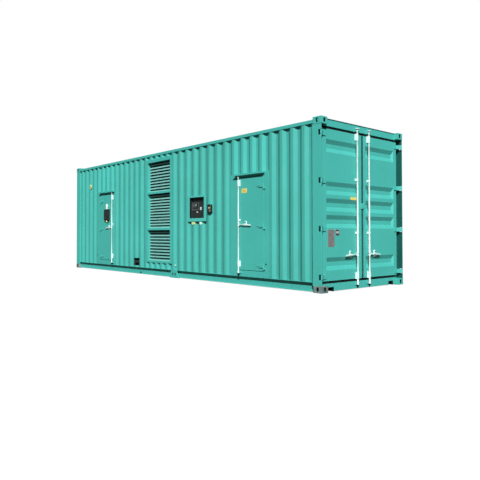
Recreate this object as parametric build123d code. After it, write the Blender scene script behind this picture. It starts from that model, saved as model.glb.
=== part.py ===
from build123d import *
import os

# Silent generator set in a ten metre class freight container housing.
# +X runs along the housing towards its cargo doors, -Y is the side with the controls, +Z is up.
# The origin is at the centre of the footprint, on the ground.

# overall envelope
length = 9125
width = 2438
height = 2896

# corner castings
casting_length = 178
casting_width = 162
casting_height = 118
casting_wall = 28
casting_hole_long = 124
casting_hole_wide = 63
casting_side_hole_long = 79
casting_side_hole_wide = 51
casting_hole_inset = 89
frame_inset = 3

# corner posts
post_length = 195
post_plate = 12
post_web_depth = 126
post_web_width = 150

# rails of the long sides
top_rail_drop = 40
top_rail_height = 58
top_rail_width = 60
bottom_rail_height = 172
bottom_rail_flange = 58
bottom_rail_wall = 8
bottom_rail_clear = 12
bottom_lip_height = 8

# side walls: corrugated outside, flat lined inside
wall_inset = 8
wall_thickness = 100
rib_depth = 36
rib_slope = 70
rib_crest = 62
first_rib_gap = 71
door_bay_ribs = 16
door_bay_pitch = 255
louvre_bay_ribs = 5
louvre_bay_pitch = 226
closed_bay_ribs = 14
closed_bay_pitch = 245.5

# end walls, roof and floor
end_wall_inset = 12
end_rib_count = 9
end_rib_crest = 90
end_rib_slope = 40
roof_thickness = 70
roof_drop = 44
roof_rib_depth = 20
roof_rib_count = 30
floor_top = 175
floor_thickness = 28
cross_member_pitch = 450
cross_member_width = 45
cross_member_height = 120

# cargo doors
header_drop = 131
header_face = 67
header_thickness = 90
sill_top = 140
pocket_start = 242
pocket_width = 160
pocket_height = 80
leaf_face = 68
leaf_thickness = 50
leaf_edge = 115
leaf_clearance = 44
leaf_gap = 12
rib_pocket_depth = 34
rib_pocket_height = 216
rib_pocket_slope = 72
rib_pocket_margin = 95
inner_rib_offset = 279
outer_rib_inset = 282
seal_width = 16
seal_thickness = 20
cargo_pin_inset = 12
cargo_pin_radius = 7
cargo_knuckle_radius = 12
cargo_hinge_height = 76
cargo_hinge_low = 258
cargo_hinge_drop = 262
cargo_strap_thickness = 12
cargo_strap_reach = 75
cargo_blade_outer = 6
cargo_blade_inner = 9
cargo_blade_side = 2
cargo_blade_bend = 8
hinge_notch = 66
hinge_clearance = 6
pin_clearance = 0.5

# lock rods
cargo_rod_depth = 42
cargo_rod_radius = 15
cargo_rod_offset = 177
cargo_rod_bottom = 74
cargo_rod_drop = 92
cargo_handle_height = 610
cargo_bracket_low = 236
cargo_bracket_drop = 228
cargo_guide_heights = (986, 1916)
side_rod_stand_off = 30
side_rod_radius = 12
side_rod_inset = 55
side_rod_bottom = 225
side_rod_top = 2070
side_handle_height = 1150
side_bracket_heights = (405, 1935)
side_guide_height = 1235
cam_radius = 9
cam_height = 34
bracket_clearance = 0.8
bracket_wall = 5
bracket_half_width = 42
bracket_plate = 6
tall_bracket_height = 118
short_bracket_height = 40
handle_length = 340
handle_height = 30
handle_thickness = 9
hub_radius = 9
hub_height = 70
catch_reach = 187
catch_height = 90
catch_width = 34
keeper_prong = 12

# doors in the long sides
side_hinge_station = 1330
side_leaf_width = 720
side_leaf_bottom = 292
side_leaf_top = 2030
side_leaf_thickness = 50
side_leaf_proud = 8
side_leaf_gap = 8
side_frame_margins = (125, 200)
closed_frame_margins = (190, 100)
side_stop_width = 26
side_stop_gap = 6
side_pin_proud = 10
side_pin_radius = 5
side_knuckle_radius = 9
side_hinge_height = 60
side_hinge_strap = 110
side_hinge_notch = 30
side_hinge_edge = 1
side_lug_arm = 3
side_hinge_heights = (380, 1115, 1850)
closed_door_station = 7625

# rain hood over each side door
hood_right = 1305
left_hood_right = 6865
hood_width = 805
hood_bottom = 2074
hood_reach = 60
hood_plate = 5
hood_lip = 34

# louvre unit in the middle of the side
louvre_left = 5265
louvre_right = 4330
louvre_plate_margin = 80
louvre_plate_drop = 170
louvre_plate_bottom = 305
louvre_bottom = 353
louvre_drops = (243, 986, 1834)
louvre_transom = 50
louvre_recess = 70
blade_pitch = 66
blade_thickness = 4
blade_drop = 18
blade_lip = 30
bank_strip = 6
baffle_thickness = 6

# control window, emergency stop and cable box
window_right = 3085
window_width = 490
window_bottom = 1303
window_height = 437
window_frame_width = 70
window_frame_proud = 10
glass_thickness = 6
cabinet_depth = 69
cabinet_wall = 4
controller_margin_side = 235
controller_margin_top = 99
controller_margin_base = 165
controller_thickness = 14
stop_station = 2895
stop_height = 1485
stop_width = 86
stop_tall = 130
stop_depth = 50
button_radius = 22
button_reach = 18
cable_right = 5620
cable_width = 320
cable_bottom = 205
cable_height = 182
cable_box_wall = 4
gland_radius = 38
gland_length = 60
gland_pitch = 91

# middle feet under the long sides
foot_station = 4170
foot_top_width = 220
foot_base_width = 330
foot_thickness = 12
foot_hole_radius = 14
foot_hole_pitch = 90

# fittings on the left side door and plates on the near cargo door
display_offset = 400
display_width = 245
display_bottom = 1343
display_height = 285
display_depth = 50
lamp_radius = 24
lamp_gap = 2
lamp_cap_height = 20
lamp_cap_radius = 19
lamp_height = 141
placard_offset = 128
placard_width = 180
placard_bottom = 752
placard_height = 290
placard_thickness = 3
small_plate_offset = 333
small_plate_size = 100

# derived planes and places
half_length = length / 2
half_width = width / 2
header_bottom = height - header_drop
leaf_bottom = sill_top + leaf_clearance
leaf_top = header_bottom - leaf_clearance
cargo_rod_top = height - cargo_rod_drop
louvre_plate_top = height - louvre_plate_drop
louvre_tops = [height - drop for drop in louvre_drops]
wall_face = half_width - wall_inset
wall_inner = wall_face - wall_thickness
roof_top = height - roof_drop
top_rail_top = height - top_rail_drop
wall_top = top_rail_top - top_rail_height
wall_bottom = bottom_rail_height
louvre_width = louvre_left - louvre_right
side_pin_y = wall_face + side_leaf_proud + side_pin_proud
cargo_pin_x = half_length - cargo_pin_inset
cargo_pin_y = half_width - cargo_pin_inset
cargo_rod_x = half_length - cargo_rod_depth
side_rod_y = wall_face + side_rod_stand_off


def block(x_low, x_high, y_low, y_high, z_low, z_high):
    """Plain block between two corners."""
    size = (x_high - x_low, y_high - y_low, z_high - z_low)
    centre = ((x_low + x_high) / 2, (y_low + y_high) / 2, (z_low + z_high) / 2)
    return Pos(*centre) * Box(*size)


def upright(points, z_low, z_high):
    """Plan outline raised between two heights."""
    face = make_face(Polyline(*points, close=True))
    return extrude(Pos(0, 0, z_low) * face, z_high - z_low)


def rod(x, y, z_low, z_high, radius):
    """Upright round bar."""
    return Pos(x, y, (z_low + z_high) / 2) * Cylinder(radius, z_high - z_low)


def at(station):
    """X of a place measured back from the cargo door end."""
    return half_length - station


def other_side(shape):
    """The same shape on the other long side."""
    return mirror(shape, about=Plane.XZ)


def other_end(shape):
    """The same shape at the other end."""
    return mirror(shape, about=Plane.YZ)


def save(name, *shapes):
    """Write one node."""
    solids = []
    for shape in shapes:
        solids += shape.solids()
    export_step(Compound(children=solids), f"parts/{name}.step")


def corner_casting():
    """Casting at the near corner of the door end, standing on the ground."""
    low_x = half_length - casting_length
    body = block(low_x, half_length, -half_width, -half_width + casting_width, 0, casting_height)
    cavity = block(low_x + casting_wall, half_length - casting_wall, -half_width + casting_wall,
                   -half_width + casting_width - casting_wall, casting_wall, casting_height - casting_wall)
    middle_x = half_length - casting_hole_inset
    middle_y = -half_width + casting_hole_inset - frame_inset
    bottom = Pos(middle_x, middle_y, 0) * extrude(SlotOverall(casting_hole_long, casting_hole_wide),
                                                  casting_wall, both=True)
    side_slot = SlotOverall(casting_side_hole_long, casting_side_hole_wide)
    front = Plane.XZ.offset(half_width) * Rot(0, 0, 90) * extrude(side_slot, casting_wall, both=True)
    end = Plane.YZ.offset(half_length) * Rot(0, 0, 90) * extrude(side_slot, casting_wall, both=True)
    front = Pos(middle_x, 0, casting_height / 2) * front
    end = Pos(0, middle_y, casting_height / 2) * end
    return body - cavity - bottom - front - end


def all_corners(shape):
    """A piece of the near door corner, repeated at the four corners."""
    pair = [shape, other_side(shape)]
    return pair + [other_end(piece) for piece in pair]


def rib_outline():
    """Plan outline of a whole side wall: ribbed outside, flat inside."""
    points = [(at(post_length), -wall_inner), (at(post_length), rib_depth - wall_face)]
    station = post_length + first_rib_gap
    bays = ((door_bay_ribs, door_bay_pitch), (louvre_bay_ribs, louvre_bay_pitch),
            (closed_bay_ribs, closed_bay_pitch))
    for ribs, pitch in bays:
        valley = pitch - rib_crest - 2 * rib_slope
        for index in range(ribs):
            start = station + index * pitch + valley / 2
            points.append((at(start), rib_depth - wall_face))
            points.append((at(start + rib_slope), -wall_face))
            points.append((at(start + rib_slope + rib_crest), -wall_face))
            points.append((at(start + 2 * rib_slope + rib_crest), rib_depth - wall_face))
        station += ribs * pitch
    points.append((at(length - post_length), rib_depth - wall_face))
    points.append((at(length - post_length), -wall_inner))
    return points


def wall_piece(sheet, near_station, far_station, z_low=wall_bottom, z_high=wall_top):
    """Part of the ribbed wall between two stations and two heights."""
    return sheet & block(at(far_station), at(near_station), -half_width, -wall_inner, z_low, z_high)


def corner_post():
    """Door end post: outer plate and a web behind the door's edge, notched for the hinges."""
    outer = -half_width + frame_inset
    points = [(half_length - frame_inset, outer), (at(post_length), outer),
              (at(post_length), -wall_inner), (half_length - casting_length, -wall_inner),
              (half_length - casting_length, -half_width + post_web_width),
              (half_length - post_web_depth, -half_width + post_web_width),
              (half_length - post_web_depth, outer + post_plate), (half_length - frame_inset, outer + post_plate)]
    post = upright(points, casting_height, height - casting_height)
    lug = 2 * cargo_pin_inset
    for z in cargo_hinge_heights():
        low = z - cargo_hinge_height / 2 - hinge_clearance
        high = z + cargo_hinge_height / 2 + hinge_clearance
        post += block(half_length - lug, half_length - frame_inset, outer, outer + lug,
                      low - lug, high + lug)
        post -= block(half_length - hinge_notch, half_length, -half_width, outer + lug, low, high)
        post -= rod(cargo_pin_x, -cargo_pin_y, low - lug, high + lug, cargo_pin_radius)
    return post


def plain_post():
    """Post of the closed end, a closed box section."""
    outer = -half_width + frame_inset
    return block(-half_length + frame_inset, -half_length + post_length, outer, -wall_inner,
                 casting_height, height - casting_height)


def cargo_hinge_heights():
    pitch = (height - cargo_hinge_drop - cargo_hinge_low) / 3
    return [cargo_hinge_low + step * pitch for step in range(4)]


def bottom_side_rail():
    """Channel, open outwards, that carries the side wall."""
    outer = -half_width + wall_inset
    web = outer + bottom_rail_flange
    low = bottom_rail_clear
    x_low = -half_length + casting_length
    x_high = half_length - casting_length
    back = block(x_low, x_high, web - bottom_rail_wall, -wall_inner, low, bottom_rail_height)
    top = block(x_low, x_high, outer, web, bottom_rail_height - bottom_rail_wall, bottom_rail_height)
    lip = block(x_low, x_high, outer + bottom_rail_flange / 3, web, low, low + bottom_lip_height)
    rail = back + top + lip
    for end in (x_low, x_high):
        reach = post_length - casting_length
        rail -= block(end - reach, end + reach, -half_width, 0, casting_height, bottom_rail_height)
    return rail


def door_sill():
    """Sill between the bottom castings of the door end with a pocket at each end."""
    face = half_length - header_face
    y = half_width - casting_width
    sill = block(face - header_thickness, face, -y, y, bottom_rail_clear, sill_top)
    for side in (-1, 1):
        start = side * (half_width - pocket_start)
        end = side * (half_width - pocket_start - pocket_width)
        sill -= block(face - header_thickness, half_length, min(start, end), max(start, end),
                      0, pocket_height)
    return sill


def closed_end_wall():
    """Ribbed end wall with a flat lining."""
    outer = -half_length + end_wall_inset
    inner = outer + wall_thickness
    span = wall_inner
    pitch = 2 * span / end_rib_count
    points = [(inner, -span), (outer + rib_depth, -span)]
    for index in range(end_rib_count):
        start = -span + index * pitch + (pitch - end_rib_crest - 2 * end_rib_slope) / 2
        points.append((outer + rib_depth, start))
        points.append((outer, start + end_rib_slope))
        points.append((outer, start + end_rib_slope + end_rib_crest))
        points.append((outer + rib_depth, start + 2 * end_rib_slope + end_rib_crest))
    points += [(outer + rib_depth, span), (inner, span)]
    return upright(points, casting_height, height - casting_height)


def deck(z_low, z_high):
    """Plate between the end frames, cut round the corners of the door end."""
    x_low = -half_length + casting_length
    x_high = half_length - header_face - header_thickness
    plate = block(x_low, x_high, -wall_inner, wall_inner, z_low, z_high)
    for side in (-1, 1):
        inner = side * (half_width - casting_width)
        outer = side * half_width
        plate -= block(at(post_length), half_length, min(inner, outer), max(inner, outer), z_low, z_high)
    return plate


def roof_panel():
    """Stamped roof sheet with its lining below."""
    x_high = at(post_length)
    x_low = -half_length + casting_length
    y = wall_inner
    roof = deck(roof_top - roof_thickness, roof_top)
    pitch = (x_high - x_low) / roof_rib_count
    for index in range(roof_rib_count):
        x = x_low + (index + 0.5) * pitch
        roof -= block(x - pitch / 4, x + pitch / 4, -y + pitch, y - pitch,
                      roof_top - roof_rib_depth, roof_top)
    return roof


def cross_members():
    """Joists between the bottom rails."""
    span = length - 2 * casting_length
    count = int(span // cross_member_pitch)
    top = floor_top - floor_thickness
    for index in range(1, count):
        x = -half_length + casting_length + index * span / count
        yield block(x - cross_member_width / 2, x + cross_member_width / 2, -wall_inner, wall_inner,
                    top - cross_member_height, top)


def recess(y_low, y_high, z_middle):
    """Pressed horizontal rib of a cargo door, sunk into its face with sloping sides."""
    face = half_length - leaf_face
    half = rib_pocket_height / 2
    outer = Plane.YZ.offset(face) * Pos((y_low + y_high) / 2, z_middle) * Rectangle(y_high - y_low, 2 * half)
    inner = Plane.YZ.offset(face - rib_pocket_depth) * Pos((y_low + y_high) / 2, z_middle) * Rectangle(
        y_high - y_low - rib_pocket_slope, 2 * half - 2 * rib_pocket_slope)
    return loft([outer, inner])


def cargo_leaf():
    """Near cargo door: flat leaf with five pressed ribs."""
    face = half_length - leaf_face
    y_low = -half_width + leaf_edge
    y_high = -leaf_gap / 2
    leaf = block(face - leaf_thickness, face, y_low, y_high, leaf_bottom, leaf_top)
    middle = (leaf_bottom + leaf_top) / 2
    outer_rib_offset = (leaf_top - leaf_bottom) / 2 - outer_rib_inset
    for offset in (-outer_rib_offset, -inner_rib_offset, 0, inner_rib_offset, outer_rib_offset):
        leaf -= recess(y_low + rib_pocket_margin, y_high - rib_pocket_margin, middle + offset)
    return leaf


def cargo_seal():
    """Rubber seal round the inner edge of the near cargo door."""
    back = half_length - leaf_face - leaf_thickness
    y_low = -half_width + post_web_width + side_stop_gap
    y_high = -leaf_gap / 2 - side_stop_gap
    low = leaf_bottom + side_stop_gap
    high = leaf_top - side_stop_gap
    ring = block(back - seal_thickness, back, y_low, y_high, low, high)
    return ring - block(back - seal_thickness, back, y_low + seal_width, y_high - seal_width,
                        low + seal_width, high - seal_width)


def cargo_hinge(z):
    """Knuckle at the corner with a strap that runs back to the leaf's face."""
    half = cargo_hinge_height / 2
    face = half_length - leaf_face
    edge = -half_width + leaf_edge
    side = cargo_blade_side - cargo_pin_y
    front = face + cargo_strap_thickness
    points = [(cargo_pin_x + cargo_blade_outer, side), (front, edge + cargo_blade_bend),
              (front, edge + cargo_strap_reach), (face, edge + cargo_strap_reach),
              (face, edge), (cargo_pin_x - cargo_blade_inner, side)]
    strap = upright(points, z - half, z + half)
    knuckle = rod(cargo_pin_x, -cargo_pin_y, z - half, z + half, cargo_knuckle_radius)
    bore = rod(cargo_pin_x, -cargo_pin_y, z - half, z + half, cargo_pin_radius + pin_clearance)
    return strap + knuckle - bore


def cargo_pin(z):
    """Pin between the two lugs of one hinge."""
    reach = cargo_hinge_height / 2 + hinge_clearance + 2 * cargo_pin_inset
    return rod(cargo_pin_x, -cargo_pin_y, z - reach, z + reach, cargo_pin_radius)


def lock_rod(z_low, z_high, radius, handle_z):
    """Rod on the Z axis with a cam at each end and a handle towards -X, its face to -Y."""
    bar = rod(0, 0, z_low, z_high, radius)
    for z in (z_low, z_high - cam_height):
        bar += rod(0, 0, z, z + cam_height, radius + cam_radius / 2)
    bar += rod(0, 0, handle_z - hub_height / 2, handle_z + hub_height / 2, radius + hub_radius / 3)
    arm = block(-handle_length, 0, -handle_thickness / 2, handle_thickness / 2,
                handle_z - handle_height / 2, handle_z + handle_height / 2)
    return bar + arm


def rod_bracket(z, tall, radius, stand_off):
    """Guide on a leaf: plate on the face at +Y and a collar round the rod on the Z axis."""
    low = z - tall / 2
    high = z + tall / 2
    collar = radius + bracket_clearance + bracket_wall
    guide = rod(0, 0, low, high, collar)
    guide += block(-collar, collar, 0, stand_off, low, high)
    guide += block(-bracket_half_width, bracket_half_width, stand_off - bracket_plate, stand_off, low, high)
    return guide - rod(0, 0, low, high, radius + bracket_clearance)


def handle_catch(z, stand_off):
    """Post on a leaf behind the end of the handle."""
    gap = handle_thickness / 2 + hinge_clearance
    return block(-catch_reach - catch_width / 2, catch_width / 2 - catch_reach, gap, stand_off,
                 z - catch_height / 2, z + catch_height / 2)


def rod_keeper(z, stand_off, radius):
    """Two fixed prongs, one on each side of a cam."""
    start = radius + cam_radius / 2 + hinge_clearance
    for side in (-1, 1):
        near = side * start
        far = side * (start + keeper_prong)
        yield block(min(near, far), max(near, far), 0, stand_off, z - cam_height / 2, z + cam_height / 2)


def on_cargo_door(shape):
    """Bring a rod piece to the near cargo door: +Y of the piece points into the housing."""
    return Pos(cargo_rod_x, -cargo_rod_offset, 0) * Rot(0, 0, 90) * shape


def right_door_place(shape):
    """Bring a rod piece to the right side door, its handle towards the hinges."""
    x = at(side_hinge_station + side_leaf_width - side_rod_inset)
    return Pos(x, -side_rod_y, 0) * mirror(shape, about=Plane.YZ)


def to_left_door(shape):
    """The left side door is the right one mirrored."""
    middle = (at(side_hinge_station) + at(closed_door_station)) / 2
    return mirror(shape, about=Plane.YZ.offset(middle))


def side_door_frame(stop_gap, margins):
    """Flat surround of the right door with a stop behind the leaf; margins beside the hinges and the rod."""
    right = side_hinge_station - margins[0]
    left = side_hinge_station + side_leaf_width + margins[1]
    gap = side_leaf_gap
    stop = side_stop_width
    plate = block(at(left), at(right), -wall_face, -wall_inner, wall_bottom, hood_bottom + hood_lip + hood_plate)
    opening = block(at(side_hinge_station + side_leaf_width + gap), at(side_hinge_station - gap),
                    -half_width, side_leaf_thickness - side_leaf_proud + stop_gap - wall_face,
                    side_leaf_bottom - gap, side_leaf_top + gap)
    clear = block(at(side_hinge_station + side_leaf_width - stop), at(side_hinge_station + stop),
                  -half_width, -wall_inner, side_leaf_bottom + stop, side_leaf_top - stop)
    return plate - opening - clear


def side_door_leaf():
    """Flat leaf that stands a little proud of the wall."""
    face = -wall_face - side_leaf_proud
    return block(at(side_hinge_station + side_leaf_width), at(side_hinge_station),
                 face, face + side_leaf_thickness, side_leaf_bottom, side_leaf_top)


def side_hinge(z):
    """Knuckle and strap on the leaf."""
    half = side_hinge_height / 2
    x = at(side_hinge_station)
    face = -wall_face - side_leaf_proud
    knuckle = rod(x, -side_pin_y, z - half, z + half, side_knuckle_radius)
    strap = block(x - side_hinge_strap, x, -side_pin_y - side_knuckle_radius / 3, face, z - half, z + half)
    bore = rod(x, -side_pin_y, z - half, z + half, side_pin_radius + pin_clearance)
    body = knuckle + strap
    return body - bore - block(x - side_hinge_edge, x + side_hinge_notch, face, 0, z - half, z + half)


def side_pin(z):
    """Pin with a fixed lug below the knuckle, welded to the surround."""
    half = side_hinge_height / 2
    x = at(side_hinge_station)
    pin = rod(x, -side_pin_y, z - half - side_hinge_height / 2, z + half, side_pin_radius)
    lug_top = z - half - bracket_clearance
    lug = rod(x, -side_pin_y, lug_top - side_hinge_height / 2, lug_top, side_knuckle_radius)
    inner = x + side_leaf_gap + side_hinge_edge
    plate = block(inner, x + side_leaf_gap + side_hinge_height / 2, -side_pin_y, -wall_face,
                  lug_top - side_hinge_height / 2, lug_top)
    arm = block(x, inner + side_hinge_edge, -side_pin_y - side_lug_arm, -side_pin_y + side_lug_arm,
                lug_top - side_hinge_height / 2, lug_top)
    return pin + lug + plate + arm


def rain_hood(station):
    """Folded plate over a side door, from a station towards the closed end."""
    right = at(station)
    left = at(station + hood_width)
    plate = block(left, right, -wall_face - hood_reach, -wall_face, hood_bottom, hood_bottom + hood_plate)
    lip = block(left, right, -wall_face - hood_reach, -wall_face - hood_reach + hood_plate,
                hood_bottom, hood_bottom + hood_lip)
    return plate + lip


def louvre_frame():
    """Flat plate with three openings, one above the other."""
    plate = block(at(louvre_left + louvre_plate_margin), at(louvre_right - louvre_plate_margin),
                  -wall_face, -wall_inner, louvre_plate_bottom, louvre_plate_top)
    for top, bottom in louvre_openings():
        plate -= block(at(louvre_left), at(louvre_right), -half_width, 0, bottom, top)
    return plate


def louvre_openings():
    """Top and bottom of each opening, from the highest down."""
    bottoms = [below + louvre_transom for below in louvre_tops[1:]] + [louvre_bottom]
    return list(zip(louvre_tops, bottoms))


def louvre_bank(top, bottom):
    """Sloping blades between two side strips, set back in their opening."""
    front = -wall_face + louvre_recess
    back = -wall_inner
    left = at(louvre_left)
    right = at(louvre_right)
    bank = block(left, left + bank_strip, front, back, bottom, top)
    bank += block(right - bank_strip, right, front, back, bottom, top)
    count = int((top - bottom) // blade_pitch)
    spacing = (top - bottom) / count
    for index in range(count):
        low = top - (index + 1) * spacing
        high = low + blade_lip
        outline = Polyline((front, low), (front, high), (back, high + blade_drop),
                           (back, high + blade_drop - blade_thickness),
                           (front + blade_thickness, high - blade_thickness), (front + blade_thickness, low),
                           close=True)
        blade = extrude(Plane.YZ.offset(left + bank_strip / 2) * make_face(outline),
                        louvre_width - bank_strip)
        bank += blade
    return bank


def louvre_baffle(top, bottom):
    """Sheet that closes the wall behind one bank."""
    return block(at(louvre_left), at(louvre_right), -wall_inner, -wall_inner + baffle_thickness, bottom, top)


def window_opening():
    """Hole for the control window."""
    return block(at(window_right + window_width), at(window_right), -width, 0,
                 window_bottom, window_bottom + window_height)


def window_frame():
    """Flat frame round the control window with a ledge below."""
    face = -wall_face - window_frame_proud
    frame = block(at(window_right + window_width + window_frame_width), at(window_right - window_frame_width),
                  face, -wall_face, window_bottom - window_frame_width,
                  window_bottom + window_height + window_frame_width / 2)
    return frame - window_opening()


def control_cabinet():
    """Open fronted box behind the control window."""
    back = -wall_face + cabinet_depth
    left = at(window_right + window_width)
    right = at(window_right)
    top = window_bottom + window_height
    box = block(left, right, -wall_face + rib_depth, back, window_bottom, top)
    w = cabinet_wall
    return box - block(left + w, right - w, -wall_face, back - w, window_bottom + w, top - w)


def controller_panel():
    """Instrument panel on the back of the cabinet."""
    back = -wall_face + cabinet_depth - cabinet_wall
    return block(at(window_right + window_width - cabinet_wall), at(window_right + controller_margin_side),
                 back - controller_thickness, back, window_bottom + controller_margin_base,
                 window_bottom + window_height - controller_margin_top)


def window_glass():
    """Pane in the mouth of the cabinet."""
    w = cabinet_wall
    face = -wall_face + rib_depth
    return block(at(window_right + window_width - w), at(window_right + w), face, face + glass_thickness,
                 window_bottom + w, window_bottom + window_height - w)


def emergency_stop():
    """Small box with a push button."""
    x = at(stop_station)
    face = -wall_face - stop_depth + rib_depth
    box = block(x - stop_width / 2, x + stop_width / 2, face, -wall_face + rib_depth,
                stop_height - stop_tall / 2, stop_height + stop_tall / 2)
    button = Pos(x, face - button_reach / 2, stop_height) * Rot(90, 0, 0) * Cylinder(button_radius, button_reach)
    return box + button


def cable_opening():
    """Hole for the power cables near the ground."""
    return block(at(cable_right + cable_width), at(cable_right), -half_width, 0,
                 cable_bottom, cable_bottom + cable_height)


def cable_box():
    """Box behind the cable opening with a row of glands on its back."""
    w = cable_box_wall
    left = at(cable_right + cable_width)
    right = at(cable_right)
    top = cable_bottom + cable_height
    back = -wall_inner
    box = block(left, right, -wall_face + rib_depth, back, cable_bottom, top)
    box -= block(left + w, right - w, -wall_face, back - w, cable_bottom + w, top - w)
    for step in (-1, 0, 1):
        x = (left + right) / 2 + step * gland_pitch
        box += Pos(x, back - w - gland_length / 2, (cable_bottom + top) / 2) * Rot(90, 0, 0) * Cylinder(
            gland_radius, gland_length)
    return box


def middle_foot():
    """Gusseted foot under the near bottom rail with two lashing holes."""
    outer = -half_width + wall_inset
    x = at(foot_station)
    outline = Polyline((x - foot_base_width / 2, bottom_rail_clear), (x + foot_base_width / 2, bottom_rail_clear),
                       (x + foot_top_width / 2, bottom_rail_height - bottom_rail_wall),
                       (x - foot_top_width / 2, bottom_rail_height - bottom_rail_wall), close=True)
    plate = extrude(Plane.XZ.offset(-outer - foot_thickness) * make_face(outline), foot_thickness)
    for side in (-1, 1):
        hole = Pos(x + side * foot_hole_pitch / 2, outer + foot_thickness / 2,
                   bottom_rail_height / 2) * Rot(90, 0, 0) * Cylinder(foot_hole_radius, 2 * foot_thickness)
        plate -= hole
    web = outer + bottom_rail_flange - bottom_rail_wall
    low = bottom_rail_clear + bottom_lip_height
    ribs = block(x - foot_top_width / 2, x - foot_top_width / 2 + foot_thickness, outer, web,
                 low, bottom_rail_height / 2)
    ribs += block(x + foot_top_width / 2 - foot_thickness, x + foot_top_width / 2, outer, web,
                  low, bottom_rail_height / 2)
    pad = block(x - foot_base_width / 2, x + foot_base_width / 2, outer, web, 0, bottom_rail_clear)
    return plate + ribs + pad


def door_display():
    """Box on the left side door."""
    face = -wall_face - side_leaf_proud
    x = at(closed_door_station) + display_offset
    return block(x - display_width / 2, x + display_width / 2, face - display_depth, face,
                 display_bottom, display_bottom + display_height)


def door_lamp():
    """Signal lamp that stands on the box of the left side door."""
    x = at(closed_door_station) + display_offset
    base = display_bottom + display_height
    y = -wall_face - side_leaf_proud - lamp_radius - lamp_gap
    shoulder = base + lamp_height - lamp_cap_height
    stem = rod(x, y, base, shoulder, lamp_radius)
    cap = rod(x, y, shoulder, base + lamp_height, lamp_cap_radius)
    return stem + cap


def door_plates():
    """Bare plates riveted to the near cargo door."""
    face = half_length - leaf_face
    y = -half_width + leaf_edge + placard_offset
    big = block(face, face + placard_thickness, y, y + placard_width, placard_bottom,
                placard_bottom + placard_height)
    y = -half_width + leaf_edge + small_plate_offset
    top = placard_bottom + placard_height
    small = block(face, face + placard_thickness, y, y + small_plate_size, top - small_plate_size, top)
    return [big, small]


os.makedirs("parts", exist_ok=True)

# frame of the housing
near_post = corner_post()
save("door_end_posts", near_post, other_side(near_post))
back_post = plain_post()
save("closed_end_posts", back_post, other_side(back_post))
casting = corner_casting()
save("bottom_castings", *all_corners(casting))
top_casting = Pos(0, 0, height) * mirror(casting, about=Plane.XY)
save("top_castings", *all_corners(top_casting))
top_rail = block(-half_length + casting_length, half_length - casting_length, -half_width + frame_inset,
                 -half_width + frame_inset + top_rail_width, wall_top, top_rail_top)
top_rail += block(-half_length + casting_length, half_length - casting_length,
                  -half_width + frame_inset + top_rail_width, -wall_inner, wall_top, roof_top)
save("top_side_rails", top_rail, other_side(top_rail))
bottom_rail = bottom_side_rail()
save("bottom_side_rails", bottom_rail, other_side(bottom_rail))
y_span = half_width - casting_width
header = block(half_length - header_face - header_thickness, half_length - header_face, -y_span, y_span,
               header_bottom, height - frame_inset)
save("door_end_rails", header, door_sill())
end_header = block(-half_length + frame_inset, -half_length + casting_length, -y_span, y_span,
                   height - casting_height, height - frame_inset)
end_sill = block(-half_length + frame_inset, -half_length + casting_length, -y_span, y_span,
                 bottom_rail_clear, casting_height)
save("closed_end_rails", end_header, end_sill)
save("closed_end_wall", closed_end_wall())
save("roof_panel", roof_panel())
save("floor_deck", deck(floor_top - floor_thickness, floor_top))
save("cross_members", *cross_members())

# near side wall, split beside and over its doors
sheet = upright(rib_outline(), wall_bottom, wall_top)
frame_right = side_hinge_station - side_frame_margins[0]
frame_left = side_hinge_station + side_leaf_width + side_frame_margins[1]
far_frame_right = closed_door_station - side_leaf_width - closed_frame_margins[1]
far_frame_left = closed_door_station + closed_frame_margins[0]
over_door = hood_bottom + hood_lip + hood_plate
louvre_start = louvre_right - louvre_plate_margin
louvre_end = louvre_left + louvre_plate_margin
wall_right = wall_piece(sheet, post_length, frame_right)
wall_over_right = wall_piece(sheet, frame_right, frame_left, over_door)
wall_middle = wall_piece(sheet, frame_left, louvre_start)
wall_over_louvre = wall_piece(sheet, louvre_start, louvre_end, louvre_plate_top)
wall_under_louvre = wall_piece(sheet, louvre_start, louvre_end, wall_bottom, louvre_plate_bottom)
wall_left_middle = wall_piece(sheet, louvre_end, far_frame_right)
wall_over_left = wall_piece(sheet, far_frame_right, far_frame_left, over_door)
wall_left = wall_piece(sheet, far_frame_left, length - post_length)
near_panels = [wall_right, wall_middle - window_opening(), wall_left_middle - cable_opening(), wall_left]
near_infill = [wall_over_right, wall_over_louvre, wall_under_louvre, wall_over_left]
save("control_side_wall", *near_panels)
save("control_side_infill", *near_infill)

# far side wall, the same without the control window
far_panels = [wall_right, wall_middle, wall_left_middle, wall_left]
save("far_side_wall", *[other_side(piece) for piece in far_panels])
save("far_side_infill", *[other_side(piece) for piece in near_infill])

# side doors
frames = [side_door_frame(side_stop_gap, side_frame_margins),
          to_left_door(side_door_frame(side_stop_gap, closed_frame_margins)),
          other_side(side_door_frame(0, side_frame_margins)),
          other_side(to_left_door(side_door_frame(0, closed_frame_margins)))]
save("side_door_frames", *frames)
leaf = side_door_leaf()
save("right_door_leaf", leaf)
save("left_door_leaf", to_left_door(leaf))
save("far_door_leaves", other_side(leaf), other_side(to_left_door(leaf)))
hinges = [side_hinge(z) for z in side_hinge_heights]
save("right_door_hinges", *hinges)
save("left_door_hinges", *[to_left_door(piece) for piece in hinges])
pins = [side_pin(z) for z in side_hinge_heights]
pins += [to_left_door(piece) for piece in pins]
pins += [cargo_pin(z) for z in cargo_hinge_heights()]
save("hinge_pins", *pins, *[other_side(piece) for piece in pins])
hoods = [rain_hood(hood_right), rain_hood(left_hood_right)]
save("rain_hoods", *hoods, *[other_side(piece) for piece in hoods])

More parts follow.
